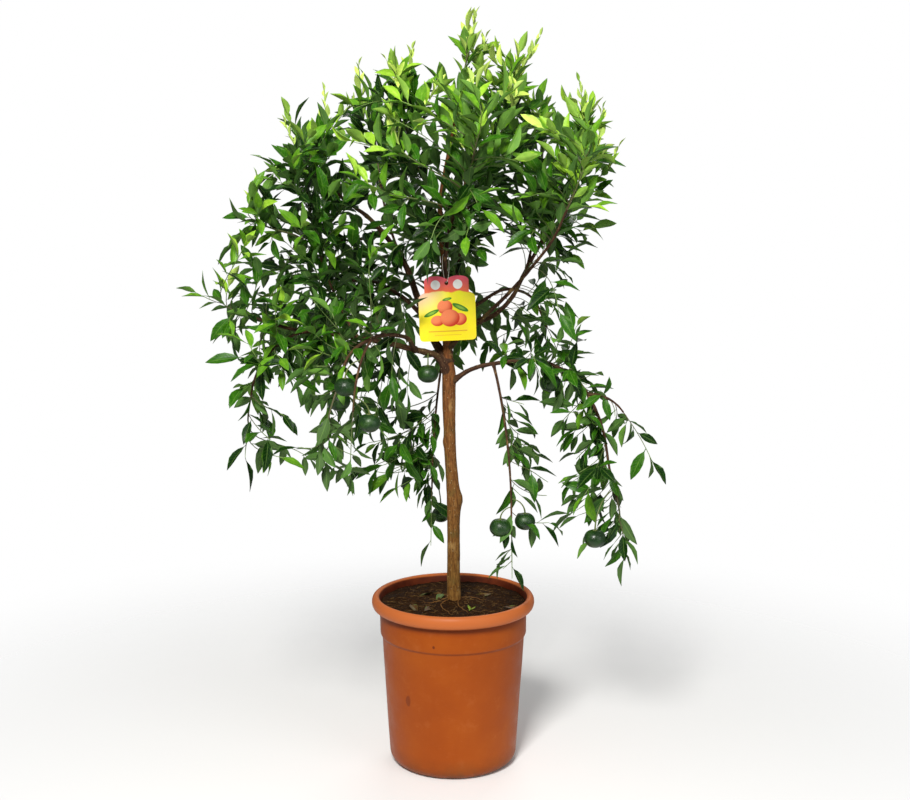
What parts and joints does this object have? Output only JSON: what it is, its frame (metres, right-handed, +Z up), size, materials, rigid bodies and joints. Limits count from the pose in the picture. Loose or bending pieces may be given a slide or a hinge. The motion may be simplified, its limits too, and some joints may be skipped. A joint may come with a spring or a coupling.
{
  "type": "potted mandarin tree",
  "caption": "Small citrus tree grown as a leafy head on a bare stem, with green fruit, standing in a round rolled-rim nursery pot of soil.",
  "frame": {"origin": "centre of the pot's base, on the face it stands on", "axes": "+Z up the stem, -Y towards the side with the tag, +X to the right seen from that side"},
  "size_m": [0.9827, 0.7646, 1.6024],
  "materials": {
    "pot_plastic": "satin injection-moulded plastic, scuffed and dusty",
    "soil": "loose, dark, fibrous potting mix",
    "bark": "smooth young bark with fine cracks",
    "leaf": "glossy upper side, dull underside",
    "fruit": "unripe, waxy and finely pitted",
    "tag_card": "glossy printed card with a made-up design",
    "tag_thread": "thin pale thread"
  },
  "bodies": {
    "root": {"pot": "pot_plastic", "soil": "soil", "tree_wood": "bark", "mandarin_1": "fruit", "mandarin_2": "fruit", "mandarin_3": "fruit", "mandarin_4": "fruit", "mandarin_5": "fruit", "mandarin_6": "fruit", "mandarin_7": "fruit", "mandarin_8": "fruit", "mandarin_9": "fruit", "mandarin_10": "fruit", "tag": "tag_card", "tag_tie": "tag_thread", "shoot_stem": "leaf", "shoot_left_low": "leaf", "shoot_left_high": "leaf", "shoot_right_high": "leaf", "shoot_right_low": "leaf", "shoot_front": "leaf", "shoot_front_left": "leaf", "shoot_back": "leaf", "shoot_back_left": "leaf", "shoot_back_right": "leaf", "shoot_front_right": "leaf", "shoot_left_up": "leaf", "shoot_left_hanging": "leaf", "shoot_crown_left": "leaf", "shoot_far_left": "leaf", "shoot_crown_front": "leaf", "shoot_crown_right": "leaf", "shoot_back_right_up": "leaf", "shoot_right_hanging": "leaf", "shoot_right_out": "leaf", "shoot_front_hanging": "leaf", "shoot_back_up": "leaf", "shoot_back_hanging": "leaf", "shoot_left_low_side": "leaf", "shoot_left_high_side": "leaf", "shoot_right_high_side": "leaf", "shoot_right_low_side": "leaf", "shoot_front_side": "leaf", "shoot_front_left_side": "leaf", "shoot_back_side": "leaf", "shoot_back_left_side": "leaf", "shoot_back_right_side": "leaf", "shoot_front_right_side": "leaf"}
  },
  "joints": []
}
